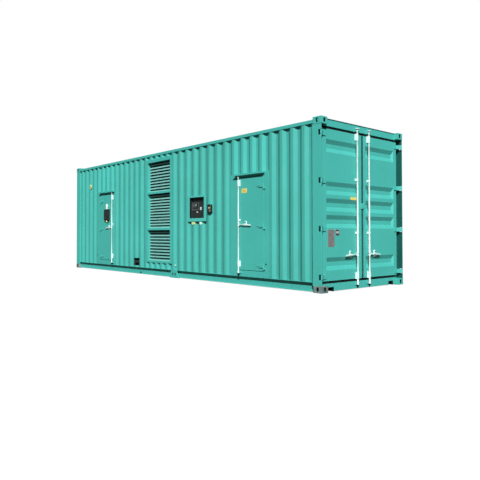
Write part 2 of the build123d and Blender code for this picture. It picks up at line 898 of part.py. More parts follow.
side_stand_off = side_rod_stand_off - side_leaf_proud
side_rod = right_door_place(lock_rod(side_rod_bottom, side_rod_top, side_rod_radius, side_handle_height))
save("right_door_rod", side_rod)
save("left_door_rod", to_left_door(side_rod))
side_brackets = [rod_bracket(z, tall_bracket_height, side_rod_radius, side_stand_off)
                 for z in side_bracket_heights]
side_brackets += [rod_bracket(side_guide_height, short_bracket_height, side_rod_radius, side_stand_off),
                  handle_catch(side_handle_height, side_stand_off)]
side_brackets = [right_door_place(piece) for piece in side_brackets]
save("right_door_brackets", *side_brackets)
save("left_door_brackets", *[to_left_door(piece) for piece in side_brackets])
fittings = hinges + side_brackets + [side_rod]
fittings += [to_left_door(piece) for piece in fittings]
save("far_door_fittings", *[other_side(piece) for piece in fittings])

# louvres
save("louvre_frames", louvre_frame(), other_side(louvre_frame()))
banks = [louvre_bank(top, bottom) for top, bottom in louvre_openings()]
save("louvre_banks", *banks, *[other_side(piece) for piece in banks])
baffles = [louvre_baffle(top, bottom) for top, bottom in louvre_openings()]
save("louvre_baffles", *baffles, *[other_side(piece) for piece in baffles])

# controls and cable box
save("control_window_frame", window_frame())
save("control_cabinet", control_cabinet())
save("controller_panel", controller_panel())
save("control_window_glass", window_glass())
save("emergency_stop", emergency_stop() - wall_middle)
save("cable_box", cable_box())
foot = middle_foot()
save("middle_feet", foot, other_side(foot))

# cargo doors
leaf = cargo_leaf()
seal = cargo_seal()
hinges = [cargo_hinge(z) for z in cargo_hinge_heights()]
cargo_stand_off = leaf_face - cargo_rod_depth
cargo_rod = on_cargo_door(lock_rod(cargo_rod_bottom, cargo_rod_top, cargo_rod_radius, cargo_handle_height))
cargo_brackets = [rod_bracket(z, tall_bracket_height, cargo_rod_radius, cargo_stand_off)
                  for z in (cargo_bracket_low, height - cargo_bracket_drop)]
cargo_brackets += [rod_bracket(z, short_bracket_height, cargo_rod_radius, cargo_stand_off)
                   for z in cargo_guide_heights]
cargo_brackets += [handle_catch(cargo_handle_height, cargo_stand_off)]
cargo_brackets = [on_cargo_door(piece) for piece in cargo_brackets]
keepers = []
for z in (cargo_rod_bottom + cam_height / 2, cargo_rod_top - cam_height / 2):
    pair = [on_cargo_door(prong) for prong in rod_keeper(z, header_face - cargo_rod_depth, cargo_rod_radius)]
    keepers += pair + [other_side(prong) for prong in pair]
for z in (side_rod_bottom + cam_height / 2, side_rod_top - cam_height / 2):
    pair = [right_door_place(prong) for prong in rod_keeper(z, side_rod_stand_off, side_rod_radius)]
    pair += [to_left_door(prong) for prong in pair]
    keepers += pair + [other_side(prong) for prong in pair]
save("lock_keepers", *keepers)
for name, place in (("near", lambda piece: piece), ("far", other_side)):
    save(f"{name}_cargo_leaf", place(leaf))
    save(f"{name}_cargo_seal", place(seal))
    save(f"{name}_cargo_hinges", *[place(piece) for piece in hinges])
    save(f"{name}_cargo_rod", place(cargo_rod))
    save(f"{name}_cargo_brackets", *[place(piece) for piece in cargo_brackets])

# things carried by the doors
save("door_display", door_display())
save("door_lamp", door_lamp())
save("door_plates", *door_plates())
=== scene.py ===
import bpy
import bmesh
import math
import numpy as np
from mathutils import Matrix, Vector


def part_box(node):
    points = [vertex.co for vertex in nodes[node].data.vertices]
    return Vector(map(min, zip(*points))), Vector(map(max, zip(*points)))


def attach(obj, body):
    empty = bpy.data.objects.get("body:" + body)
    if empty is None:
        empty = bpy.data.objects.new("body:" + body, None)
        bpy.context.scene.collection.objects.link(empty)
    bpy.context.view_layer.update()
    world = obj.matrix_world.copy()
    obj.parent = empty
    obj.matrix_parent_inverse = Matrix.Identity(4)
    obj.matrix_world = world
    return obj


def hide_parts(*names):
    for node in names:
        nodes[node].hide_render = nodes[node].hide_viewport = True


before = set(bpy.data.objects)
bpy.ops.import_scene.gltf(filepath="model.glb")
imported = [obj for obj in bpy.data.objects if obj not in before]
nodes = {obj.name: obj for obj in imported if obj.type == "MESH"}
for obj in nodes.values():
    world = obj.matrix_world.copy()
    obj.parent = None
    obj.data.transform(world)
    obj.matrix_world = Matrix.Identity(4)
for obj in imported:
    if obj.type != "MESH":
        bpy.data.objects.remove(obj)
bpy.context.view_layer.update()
print("frame loaded", len(nodes), "nodes")

housing = {"length": 9.125, "width": 2.438, "height": 2.896, "wallInset": 0.008, "cargoLeafInset": 0.068,
           "sideLeafProud": 0.008}
endX = housing["length"] / 2
sideY = housing["width"] / 2
wallY = -sideY + housing["wallInset"]            # outer plane of the control side
leafX = endX - housing["cargoLeafInset"]         # face of the cargo doors
sideLeafY = wallY - housing["sideLeafProud"]     # face of the side doors


def at(station):
    # x of a place measured back from the cargo door end, in metres
    return endX - station


# camera and light

cameraSet = {"place": (10.0096, -7.9092, 0.962), "turn": (91.037, 0.076, 49.084),
             "lens": 39.352, "sensor": 36, "shiftX": 0.02154, "shiftY": -0.03154, "farClip": 300}
cameraData = bpy.data.cameras.new("photoCamera")
cameraData.sensor_width = cameraSet["sensor"]
cameraData.lens = cameraSet["lens"]
cameraData.shift_x = cameraSet["shiftX"]
cameraData.shift_y = cameraSet["shiftY"]
cameraData.clip_end = cameraSet["farClip"]
camera = bpy.data.objects.new("photoCamera", cameraData)
camera.location = cameraSet["place"]
camera.rotation_euler = [math.radians(angle) for angle in cameraSet["turn"]]
bpy.context.collection.objects.link(camera)
bpy.context.scene.camera = camera

# angles in degrees, softness being the width of the sun's disc
lightSet = {"sun": 6.4, "elevation": 39, "azimuth": 47, "softness": 0.8, "sky": 0.05,
            "skyColour": (0.94, 0.98, 1.0, 1), "backdrop": (1, 1, 1, 1), "backdropLevel": 1.0}
sunData = bpy.data.lights.new("sun", "SUN")
sunData.energy = lightSet["sun"]
sunData.angle = math.radians(lightSet["softness"])
sun = bpy.data.objects.new("sun", sunData)
rise = math.radians(lightSet["elevation"])
swing = math.radians(lightSet["azimuth"])
toSun = Vector((math.cos(rise) * math.sin(swing), -math.cos(rise) * math.cos(swing), math.sin(rise)))
sun.rotation_euler = toSun.to_track_quat("Z", "Y").to_euler()
bpy.context.collection.objects.link(sun)

world = bpy.data.worlds.new("studioSky")
bpy.context.scene.world = world
world.use_nodes = True
skyNodes = world.node_tree.nodes
skyLinks = world.node_tree.links
skyNodes.clear()
skyOut = skyNodes.new("ShaderNodeOutputWorld")
skyMix = skyNodes.new("ShaderNodeMixShader")
skyPath = skyNodes.new("ShaderNodeLightPath")
skyAny = skyNodes.new("ShaderNodeMath")
skyAny.operation = "MAXIMUM"
skyLight = skyNodes.new("ShaderNodeBackground")
skyLight.inputs["Color"].default_value = lightSet["skyColour"]
skyLight.inputs["Strength"].default_value = lightSet["sky"]
skyShown = skyNodes.new("ShaderNodeBackground")
skyShown.inputs["Color"].default_value = lightSet["backdrop"]
skyShown.inputs["Strength"].default_value = lightSet["backdropLevel"]
skyLinks.new(skyPath.outputs["Is Camera Ray"], skyAny.inputs[0])
skyLinks.new(skyPath.outputs["Is Transmission Ray"], skyAny.inputs[1])
skyLinks.new(skyAny.outputs[0], skyMix.inputs["Fac"])
skyLinks.new(skyLight.outputs[0], skyMix.inputs[1])
skyLinks.new(skyShown.outputs[0], skyMix.inputs[2])
skyLinks.new(skyMix.outputs[0], skyOut.inputs["Surface"])
bpy.context.scene.view_settings.view_transform = "Standard"
print("camera and light set")


# materials

def newMaterial(name):
    # a node material, its tree and its Principled shader
    material = bpy.data.materials.new(name)
    material.use_nodes = True
    tree = material.node_tree
    shader = tree.nodes["Principled BSDF"]
    return material, tree, shader


def join(tree, source, target):
    tree.links.new(source, target)


def objectPoint(tree, scale=(1, 1, 1)):
    # Object coordinates stretched by a Mapping node
    coord = tree.nodes.new("ShaderNodeTexCoord")
    mapping = tree.nodes.new("ShaderNodeMapping")
    mapping.inputs["Scale"].default_value = scale
    join(tree, coord.outputs["Object"], mapping.inputs["Vector"])
    return mapping.outputs["Vector"]


def noise(tree, point, scale, detail=4, rough=0.55):
    texture = tree.nodes.new("ShaderNodeTexNoise")
    texture.inputs["Scale"].default_value = scale
    texture.inputs["Detail"].default_value = detail
    texture.inputs["Roughness"].default_value = rough
    join(tree, point, texture.inputs["Vector"])
    return texture.outputs["Fac"]


def remap(tree, value, fromLow, fromHigh, toLow, toHigh):
    node = tree.nodes.new("ShaderNodeMapRange")
    for socket, number in (("From Min", fromLow), ("From Max", fromHigh), ("To Min", toLow), ("To Max", toHigh)):
        node.inputs[socket].default_value = number
    join(tree, value, node.inputs["Value"])
    return node.outputs["Result"]


def blendColour(tree, factor, first, second):
    # mix of two colours, each a tuple or a socket
    node = tree.nodes.new("ShaderNodeMix")
    node.data_type = "RGBA"
    for socket, colour in ((node.inputs[6], first), (node.inputs[7], second)):
        if isinstance(colour, tuple):
            socket.default_value = (*colour, 1)
        else:
            join(tree, colour, socket)
    join(tree, factor, node.inputs[0])
    return node.outputs[2]


def multiply(tree, first, second):
    node = tree.nodes.new("ShaderNodeMath")
    node.operation = "MULTIPLY"
    join(tree, first, node.inputs[0])
    if isinstance(second, (int, float)):
        node.inputs[1].default_value = second
    else:
        join(tree, second, node.inputs[1])
    return node.outputs[0]


def bump(tree, shader, height, strength, distance, under=None):
    node = tree.nodes.new("ShaderNodeBump")
    node.inputs["Strength"].default_value = strength
    node.inputs["Distance"].default_value = distance
    join(tree, height, node.inputs["Height"])
    if under is not None:
        join(tree, under, node.inputs["Normal"])
    join(tree, node.outputs["Normal"], shader.inputs["Normal"])
    return node.outputs["Normal"]


def roundedEdges(tree, radius):
    node = tree.nodes.new("ShaderNodeBevel")
    node.samples = 4
    node.inputs["Radius"].default_value = radius
    return node.outputs["Normal"]


def heightOf(tree):
    # height above the ground in metres
    coord = tree.nodes.new("ShaderNodeTexCoord")
    split = tree.nodes.new("ShaderNodeSeparateXYZ")
    join(tree, coord.outputs["Object"], split.inputs[0])
    return split.outputs["Z"]


# sizes of the patterns as noise scales, and how strongly each one shows
paintWear = {"clouds": 0.9, "lighter": 1.05, "deeper": 0.94, "mottle": 14, "mottleShare": 0.10, "mottleTone": 0.80,
             "streaks": 1.6, "streakStretch": (9, 9, 0.35), "streakShare": 0.35, "dust": 30, "dustTop": 0.75,
             "dirt": 0.35, "gloss": 5, "dents": 2.2, "dentStrength": 0.10, "dentDepth": 0.006, "peel": 380,
             "peelStrength": 0.06, "peelDepth": 0.0006}


def paintedSteel(name, colour, dull, rough=0.42, edge=0.004):
    # sheet steel under sprayed paint: faint mottling, rain streaks, dust low down, orange peel
    material, tree, shader = newMaterial(name)
    cloud = remap(tree, noise(tree, objectPoint(tree), paintWear["clouds"], 5), 0.3, 0.7, 0.0, 1.0)
    fine = remap(tree, noise(tree, objectPoint(tree), paintWear["mottle"], 4), 0.35, 0.65, 0.0, 1.0)
    light = tuple(min(1, channel * paintWear["lighter"]) for channel in colour)
    deep = tuple(channel * paintWear["deeper"] for channel in colour)
    mottled = tuple(channel * paintWear["mottleTone"] for channel in colour)
    base = blendColour(tree, cloud, deep, light)
    base = blendColour(tree, multiply(tree, fine, paintWear["mottleShare"]), base, mottled)
    streakPoint = objectPoint(tree, paintWear["streakStretch"])
    streak = remap(tree, noise(tree, streakPoint, paintWear["streaks"], 5, 0.6), 0.55, 0.80, 0.0, 1.0)
    base = blendColour(tree, multiply(tree, streak, paintWear["dirt"] * paintWear["streakShare"]), base, dull)
    low = remap(tree, heightOf(tree), 0.0, paintWear["dustTop"], 1.0, 0.0)
    specks = remap(tree, noise(tree, objectPoint(tree), paintWear["dust"], 5), 0.42, 0.62, 0.0, 1.0)
    base = blendColour(tree, multiply(tree, multiply(tree, low, specks), paintWear["dirt"]), base, dull)
    join(tree, base, shader.inputs["Base Color"])
    gloss = noise(tree, objectPoint(tree), paintWear["gloss"], 4)
    join(tree, remap(tree, gloss, 0.3, 0.7, rough - 0.07, rough + 0.09), shader.inputs["Roughness"])
    dents = bump(tree, shader, noise(tree, objectPoint(tree), paintWear["dents"], 2), paintWear["dentStrength"],
                 paintWear["dentDepth"], roundedEdges(tree, edge))
    bump(tree, shader, noise(tree, objectPoint(tree), paintWear["peel"], 2), paintWear["peelStrength"],
         paintWear["peelDepth"], dents)
    return material


def bareMetal(name, dark, light, metallic, rough, grain=60, stretch=(1, 1, 1), edge=0.002):
    # unpainted metal: mottled tone, a little variation in gloss, fine scratches or casting skin
    material, tree, shader = newMaterial(name)
    tone = remap(tree, noise(tree, objectPoint(tree, stretch), grain * 0.25, 6), 0.32, 0.68, 0.0, 1.0)
    join(tree, blendColour(tree, tone, dark, light), shader.inputs["Base Color"])
    shader.inputs["Metallic"].default_value = metallic
    join(tree, remap(tree, noise(tree, objectPoint(tree, stretch), grain, 4), 0.3, 0.7, rough - 0.08, rough + 0.10),
         shader.inputs["Roughness"])
    bump(tree, shader, noise(tree, objectPoint(tree, stretch), grain * 4, 4), 0.18, 0.0008, roundedEdges(tree, edge))
    return material


def plastic(name, colour, rough, grain=300, edge=0.002, shine=0.5):
    # moulded plastic or rubber with a fine skin
    material, tree, shader = newMaterial(name)
    shader.inputs["Specular IOR Level"].default_value = shine
    cloud = remap(tree, noise(tree, objectPoint(tree), 6, 4), 0.3, 0.7, 0.0, 1.0)
    faded = tuple(min(1, channel * 1.18 + 0.006) for channel in colour)
    join(tree, blendColour(tree, cloud, colour, faded), shader.inputs["Base Color"])
    join(tree, remap(tree, noise(tree, objectPoint(tree), 20, 3), 0.3, 0.7, rough - 0.06, rough + 0.08),
         shader.inputs["Roughness"])
    bump(tree, shader, noise(tree, objectPoint(tree), grain, 3), 0.12, 0.0005, roundedEdges(tree, edge))
    return material


boards = {"stretch": (0.6, 9, 9), "grain": 3.0, "scuffs": 2.5, "dark": (0.13, 0.06, 0.03),
          "light": (0.30, 0.16, 0.08), "scuffed": (0.32, 0.27, 0.22)}


def plywood(name):
    # coated deck boards with a long grain and scuffs
    material, tree, shader = newMaterial(name)
    grain = remap(tree, noise(tree, objectPoint(tree, boards["stretch"]), boards["grain"], 7, 0.6), 0.3, 0.7, 0.0, 1.0)
    base = blendColour(tree, grain, boards["dark"], boards["light"])
    scuff = remap(tree, noise(tree, objectPoint(tree), boards["scuffs"], 6), 0.55, 0.75, 0.0, 0.5)
    base = blendColour(tree, scuff, base, boards["scuffed"])
    join(tree, base, shader.inputs["Base Color"])
    join(tree, remap(tree, grain, 0, 1, 0.5, 0.7), shader.inputs["Roughness"])
    bump(tree, shader, grain, 0.2, 0.001, roundedEdges(tree, 0.002))
    return material


def clearGlass(name):
    # thin pane with faint dust, which lets the sun through to the controls
    material, tree, shader = newMaterial(name)
    dust = remap(tree, noise(tree, objectPoint(tree), 25, 6), 0.5, 0.8, 0.10, 0.22)
    shader.inputs["Base Color"].default_value = (0.05, 0.07, 0.07, 1)
    shader.inputs["Roughness"].default_value = 0.05
    join(tree, dust, shader.inputs["Alpha"])
    return material


teal = (0.057, 0.402, 0.350)
tealDull = (0.034, 0.250, 0.215)
housingPaint = paintedSteel("housingPaint", teal, tealDull)
# painted shade: the long walls take a darker copy of the housing teal, which stands in for less light falling on them
shadedWallPaint = paintedSteel("shadedWallPaint", (0.054, 0.362, 0.312), tealDull)
postPaint = paintedSteel("postPaint", teal, tealDull, edge=0.011)
framePaint = paintedSteel("framePaint", (0.070, 0.460, 0.395), tealDull)
# painted shade: near-black teal for the shaded insides of the post channels
paintedChannelShade = paintedSteel("paintedChannelShade", (0.008, 0.090, 0.077), (0.004, 0.04, 0.034))
louvrePaint = paintedSteel("louvrePaint", (0.210, 0.500, 0.450), (0.12, 0.32, 0.29), rough=0.38, edge=0.001)
cabinetPaint = paintedSteel("cabinetPaint", (0.016, 0.022, 0.022), (0.05, 0.05, 0.045), rough=0.5, edge=0.001)
castingSteel = bareMetal("castingSteel", (0.10, 0.155, 0.150), (0.24, 0.33, 0.32), 0.15, 0.55, 26, edge=0.011)
zincSteel = bareMetal("zincSteel", (0.48, 0.66, 0.62), (0.65, 0.80, 0.77), 0.10, 0.42, 40, edge=0.002)
sealRubber = plastic("sealRubber", (0.006, 0.010, 0.010), 0.7, shine=0.12)
deckBoards = plywood("deckBoards")
paneGlass = clearGlass("paneGlass")
blackPlastic = plastic("blackPlastic", (0.012, 0.013, 0.015), 0.45)
whitePlastic = plastic("whitePlastic", (0.78, 0.80, 0.78), 0.32)
# painted shade: darker teal for the shaded webs of the post channels
paintedWebShade = paintedSteel("paintedWebShade", (0.030, 0.250, 0.217), (0.015, 0.13, 0.11))
creamPlastic = plastic("creamPlastic", (0.50, 0.52, 0.30), 0.42)
plateMetal = bareMetal("plateMetal", (0.34, 0.36, 0.36), (0.50, 0.52, 0.51), 0.7, 0.45, 70, (1, 0.4, 6), 0.0005)
louvreShade = plastic("louvreShade", (0.006, 0.030, 0.027), 0.8, shine=0.1)
yellowLabel = plastic("yellowLabel", (0.58, 0.52, 0.13), 0.45)
amberLabel = plastic("amberLabel", (0.60, 0.37, 0.05), 0.45)
paleLabel = plastic("paleLabel", (0.52, 0.62, 0.26), 0.45)
mintLabel = plastic("mintLabel", (0.52, 0.74, 0.60), 0.45)
panelGrey = plastic("panelGrey", (0.085, 0.098, 0.102), 0.5)
displayInk = plastic("displayInk", (0.035, 0.040, 0.042), 0.4)
buttonRed = plastic("buttonRed", (0.13, 0.060, 0.035), 0.4)
oliveInk = plastic("oliveInk", (0.14, 0.17, 0.05), 0.5)
tealShade = plastic("tealShade", (0.008, 0.080, 0.070), 0.6, shine=0.2)
plateInk = bareMetal("plateInk", (0.16, 0.13, 0.11), (0.24, 0.19, 0.17), 0.3, 0.5, 60, edge=0.0005)

finishes = {
    "bottom_castings": castingSteel, "near_cargo_rod": zincSteel, "far_cargo_rod": zincSteel,
    "right_door_rod": zincSteel, "left_door_rod": zincSteel, "near_cargo_brackets": zincSteel,
    "far_cargo_brackets": zincSteel, "right_door_brackets": zincSteel, "left_door_brackets": zincSteel,
    "far_door_fittings": zincSteel,
    "near_cargo_seal": sealRubber, "far_cargo_seal": sealRubber, "floor_deck": deckBoards,
    "control_window_glass": paneGlass, "door_display": blackPlastic, "controller_panel": blackPlastic,
    "louvre_baffles": louvreShade, "door_lamp": whitePlastic, "emergency_stop": creamPlastic,
    "door_plates": plateMetal, "control_cabinet": cabinetPaint, "cable_box": cabinetPaint,
    "louvre_banks": louvrePaint, "door_end_posts": postPaint, "top_castings": postPaint,
    "control_window_frame": framePaint, "control_side_wall": shadedWallPaint, "far_side_wall": shadedWallPaint}
for name, node in nodes.items():
    node.data.materials.clear()
    node.data.materials.append(finishes.get(name, housingPaint))


def repaint(name, extra, pick):
    # more materials on a node: pick gives each polygon's number in the list, 0 being the node's own
    mesh = nodes[name].data
    for material in extra:
        mesh.materials.append(material)
    for polygon in mesh.polygons:
        polygon.material_index = pick(polygon)


# limits that tell the faces of a node apart, in metres and as parts of a face's direction
parting = {"skin": 0.0035, "casting": 0.160, "farSide": 1.0, "facing": 0.9}


def postPaintedShade(polygon):
    # painted shade: the insides of the open channels of the door end posts are painted near black, and their webs a
    # darker teal, for the shade in them
    centre = polygon.center
    if abs(centre.y) >= sideY - parting["skin"] or centre.x >= endX - parting["skin"]:
        return 0
    return 2 if polygon.normal.x > parting["facing"] else 1


def castingFinish(polygon):
    # the far bottom casting was sprayed with the housing, but for its outer side
    far = polygon.center.x > endX - parting["casting"] and polygon.center.y > parting["farSide"]
    return int(far and polygon.normal.y < parting["facing"])


repaint("door_end_posts", [paintedChannelShade, paintedWebShade], postPaintedShade)
# painted shade: the slopes of the louvre blades behind their upright lips are painted dark teal for the shade on them,
# and only the lips keep the louvre paint
repaint("louvre_banks", [tealShade], lambda polygon: int(abs(polygon.normal.y) < parting["facing"]))
# painted shade: the emergency stop's side faces are painted black, for the shade on them
repaint("emergency_stop", [sealRubber], lambda polygon: int(abs(polygon.normal.x) > parting["facing"]))
repaint("bottom_castings", [postPaint], castingFinish)
print("materials set")


# shapes of the added pieces: each builder returns points in metres and the faces between them

def face(origin, right, up, out):
    # flat place to build on: u runs right, v up and w out of it
    return {"origin": np.array(origin), "axes": np.array([right, up, out], float)}


def longFace(y, side=-1):
    # upright plane along the housing, facing the control side unless told otherwise
    return face((0, y, 0), (1, 0, 0), (0, 0, 1), (0, side, 0))


def place(on, u, v, w):
    return on["origin"] + np.stack(np.broadcast_arrays(u, v, w), -1) @ on["axes"]


def loft(rings, ends=True):
    # skin through rings of points: rows run along the piece, columns go round it
    rows, columns = rings.shape[:2]
    row, column = np.meshgrid(np.arange(rows - 1 if ends else rows), np.arange(columns), indexing="ij")
    nextRow = (row + 1) % rows
    nextColumn = (column + 1) % columns
    quads = np.stack([row * columns + column, row * columns + nextColumn,
                      nextRow * columns + nextColumn, nextRow * columns + column], -1).reshape(-1, 4).tolist()
    if ends:
        quads += [list(range(columns)), list(range((rows - 1) * columns, rows * columns))]
    return rings.reshape(-1, 3), quads


def lathe(profile, centre, axis, steps=24):
    # (distance along the axis, radius) pairs turned round it: radius times cosine and sine of the angle
    axis = np.array(axis, float)
    first = np.cross(axis, (0.0, 0.0, 1.0) if abs(axis[2]) < 0.9 else (1.0, 0.0, 0.0))
    first /= np.linalg.norm(first)
    second = np.cross(axis, first)
    angle = np.linspace(0, 2 * np.pi, steps, endpoint=False)[:, None]
    circle = np.cos(angle) * first + np.sin(angle) * second
    distance, radius = np.array(profile).T
    return loft(np.array(centre) + distance[:, None, None] * axis + radius[:, None, None] * circle)


def shifted(profile, start):
    # the same profile begun further along its axis
    return [(start + distance, radius) for distance, radius in profile]


def outline(wide, tall, corner, steps=4):
    # round-cornered rectangle: each corner's centre plus its radius times cosine and sine of the angle
    quarter = np.linspace(0, np.pi / 2, steps)
    angle = np.concatenate([quarter + turn * np.pi / 2 for turn in range(4)])
    sideways = np.repeat([1, -1, -1, 1], steps) * (wide / 2 - corner)
    upward = np.repeat([1, 1, -1, -1], steps) * (tall / 2 - corner)
    return sideways + corner * np.cos(angle), upward + corner * np.sin(angle)


def pad(on, u, v, wide, tall, low, high, corner=0.003, chamfer=0.001):
    # plate with round corners, drawn in by its chamfer on top
    rings = []
    for rise, inset in ((low, 0), (high - chamfer, 0), (high, chamfer)):
        sideways, upward = outline(wide - 2 * inset, tall - 2 * inset, max(corner - inset, 0.0003))
        rings.append(place(on, u + sideways, v + upward, rise))
    return loft(np.array(rings))


def collar(on, u, v, wide, tall, band, low, high, corner=0.006):
    # rectangular ring: a four-sided section carried round a round-cornered outline
    rings = []
    for inset, rise in ((0, low), (0, high), (band, high), (band, low)):
        sideways, upward = outline(wide - 2 * inset, tall - 2 * inset, max(corner - inset, 0.001))
        rings.append(place(on, u + sideways, v + upward, rise))
    return loft(np.array(rings), ends=False)


def sweep(path, across, thick, up, steps=12):
    # oval section carried along a path: half widths across it and half thicknesses along up, both by the row
    path = np.array(path, float)
    along = np.gradient(path, axis=0)
    along /= np.linalg.norm(along, axis=1, keepdims=True)
    side = np.cross(along, np.array(up, float))
    side /= np.linalg.norm(side, axis=1, keepdims=True)
    over = np.cross(side, along)
    angle = np.linspace(0, 2 * np.pi, steps, endpoint=False)
    flat = np.sign(np.cos(angle)) * np.abs(np.cos(angle)) ** 0.7
    high = np.sign(np.sin(angle)) * np.abs(np.sin(angle)) ** 0.7
    across = np.broadcast_to(across, len(path))[:, None, None] * flat[None, :, None]
    thick = np.broadcast_to(thick, len(path))[:, None, None] * high[None, :, None]
    return loft(path[:, None] + across * side[:, None] + thick * over[:, None])


def bolt(on, u, v, w, size):
    # washer and six-sided head with a domed top
    centre = place(on, u, v, w)
    washer = lathe([(-0.001, size * 1.5), (size * 0.28, size * 1.5), (size * 0.34, size * 1.4)], centre,
                   on["axes"][2], 16)
    head = lathe([(0, size), (size * 0.95, size), (size * 1.15, size * 0.78)], centre, on["axes"][2], 6)
    return [washer, head]


def rivet(on, u, v, w, size):
    # low dome: its radius falls as the square root of what is left of its height
    rise = np.linspace(0, 0.96, 5)
    profile = [(size * 0.5 * t, size * math.sqrt(1 - t * t)) for t in rise]
    return lathe([(-0.001, size)] + profile, place(on, u, v, w), on["axes"][2], 14)


def bead(start, end, size, spacing=0.008):
    # weld bead: a round section whose radius swells and shrinks along a straight run
    start = np.array(start, float)
    end = np.array(end, float)
    length = np.linalg.norm(end - start)
    share = np.linspace(0, 1, max(6, int(length / spacing * 3)))
    radius = size * (1 + 0.22 * np.abs(np.sin(np.pi * share * length / spacing)))
    path = start + share[:, None] * (end - start)
    up = (0, 0, 1) if abs(end[2] - start[2]) < length / 2 else (1, 0, 0)
    return sweep(path, radius, radius, up, 8)


sharpAngle = math.radians(38)


def build(name, shapes, material, body):
    # one object of several closed shapes, faces turned outwards, riding on its body
    points = np.concatenate([shape[0] for shape in shapes])
    firsts = np.cumsum([0] + [len(shape[0]) for shape in shapes])
    faces = [[first + corner for corner in polygon] for first, shape in zip(firsts.tolist(), shapes)
             for polygon in shape[1]]
    mesh = bpy.data.meshes.new(name)
    mesh.from_pydata(points.tolist(), [], faces)
    work = bmesh.new()
    work.from_mesh(mesh)
    bmesh.ops.remove_doubles(work, verts=work.verts, dist=1e-6)
    bmesh.ops.recalc_face_normals(work, faces=work.faces)
    for polygon in work.faces:
        polygon.smooth = True
    for line in work.edges:
        line.smooth = line.calc_face_angle(0) < sharpAngle
    work.to_mesh(mesh)
    work.free()
    mesh.materials.append(material)
    piece = bpy.data.objects.new(name, mesh)
    bpy.context.collection.objects.link(piece)
    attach(piece, body)
    return piece


controlFace = longFace(wallY)
farFace = longFace(-wallY, 1)
sideLeafFace = longFace(sideLeafY)
cargoFace = face((leafX, 0, 0), (0, 1, 0), (0, 0, 1), (1, 0, 0))
upAxis = (0, 0, 1)
outAxis = (0, -1, 0)


# lock rods with their handles

cargoRod = {"radius": 0.015, "low": 0.074, "high": 2.804, "handle": 0.610, "reach": 0.340, "away": 0.026,
            "offset": 0.177, "tall": (0.236, 2.668), "short": (0.986, 1.916), "keeperSeat": 0.0005}
sideRod = {"radius": 0.012, "low": 0.225, "high": 2.070, "handle": 1.150, "reach": 0.340, "away": 0.022,
           "right": 1.995, "left": 6.960, "tall": (0.405, 1.935), "short": (1.235,), "keeperSeat": -0.0085}
# steps run from the rod's end or from the middle of the hub, and the proud ones are added to the radius
rodForm = {"tipShare": 0.6, "camFrom": 0.003, "camTo": 0.031, "neck": 0.038, "camProud": 0.0045, "hub": 0.011,
           "hubProud": 0.001, "collarFrom": 0.014, "collarTo": 0.036, "collarEnd": 0.040, "collarProud": 0.003}
fork = {"off": 0.012, "step": 0.019, "wide": 0.034, "thick": 0.007, "back": -0.009, "front": 0.011, "pinOff": 0.018,
        "pin": ((-0.027, 0.005), (-0.025, 0.006), (0.025, 0.006), (0.027, 0.005))}
grip = {"root": 0.006, "sink": 0.020, "bow": 0.010, "tall": 0.0125, "waist": 0.004, "swell": 0.002, "thick": 0.0055,
        "endFrom": 0.96, "endShare": 0.7}


def lockRod(on, u, rod, toHinge):
    # bar with swollen ends, a hub and collars, all turned round the rod's own axis
    up = on["axes"][1]
    radius, away, hub = rod["radius"], rod["away"], rod["handle"]
    end = [(0, radius * rodForm["tipShare"]), (rodForm["camFrom"], radius + rodForm["camProud"]),
           (rodForm["camTo"], radius + rodForm["camProud"]), (rodForm["neck"], radius)]
    half = [(rodForm["hub"], radius + rodForm["hubProud"]), (rodForm["collarFrom"], radius + rodForm["collarProud"]),
            (rodForm["collarTo"], radius + rodForm["collarProud"]), (rodForm["collarEnd"], radius)]
    profile = [(rod["low"] + step, size) for step, size in end]
    profile += [(hub - step, size) for step, size in reversed(half)]
    profile += [(hub + step, size) for step, size in half]
    profile += [(rod["high"] - step, size) for step, size in reversed(end)]
    bar = lathe(profile, place(on, u, 0, away), up)
    # fork cheeks on the hub and a cross pin through the handle's root
    cheeks = [pad(on, u + toHinge * (radius + fork["off"]), hub + step, fork["wide"], fork["thick"],
                  away + fork["back"], away + fork["front"]) for step in (-fork["step"], fork["step"])]
    pin = lathe(fork["pin"], place(on, u + toHinge * (radius + fork["pinOff"]), hub, away), up, 14)
    # handle: it bows out by a squared half sine wave, sinks with the square of the run, and swells to a grip
    share = np.linspace(0, 1, 29)
    run = u + toHinge * (radius + grip["root"] + share * (rod["reach"] - radius - grip["root"]))
    rise = hub - grip["sink"] * share ** 2
    out = away + grip["bow"] * np.sin(np.pi * share) ** 2
    tall = grip["tall"] - grip["waist"] * np.sin(np.pi * np.minimum(share * 1.6, 1)) + grip["swell"] * share
    tall *= np.where(share > grip["endFrom"], grip["endShare"], 1)
    handle = sweep(place(on, run, rise, out), grip["thick"], tall, up)
    return [bar, pin, handle] + cheeks


# painted shade: profile of the dark piece under each lock rod's lower cam
rodEndShade = ((-0.030, 0.004), (-0.027, 0.013), (-0.018, 0.018), (0.001, 0.018))
rodCap = {"away": 0.004, "profile": ((0.006, 0.030), (0.010, 0.038), (0.018, 0.038), (0.024, 0.030))}
guide = {"across": 0.032, "up": 0.043, "seat": 0.0055, "bolt": 0.0052}
catch = {"off": 0.187, "wide": 0.060, "tall": 0.112, "thick": 0.0035, "corner": 0.012, "knobUp": 0.044,
         "knob": 0.021, "knobShort": 0.0125, "knobEnd": 0.0105, "knobTop": 0.018,
         "rivetAcross": 0.022, "rivetUp": 0.042, "rivetSeat": 0.003, "rivet": 0.005}
keeper = {"fromEnd": 0.017, "off": 0.039, "wide": 0.032, "tall": 0.058, "thick": 0.006, "corner": 0.004,
          "boltOff": 0.004, "boltSeat": 0.0055, "bolt": 0.0056}
locks = [("near_cargo", cargoFace, -cargoRod["offset"], cargoRod, -1),
         ("far_cargo", cargoFace, cargoRod["offset"], cargoRod, 1),
         ("right_side", sideLeafFace, at(sideRod["right"]), sideRod, 1),
         ("left_side", sideLeafFace, at(sideRod["left"]), sideRod, -1)]
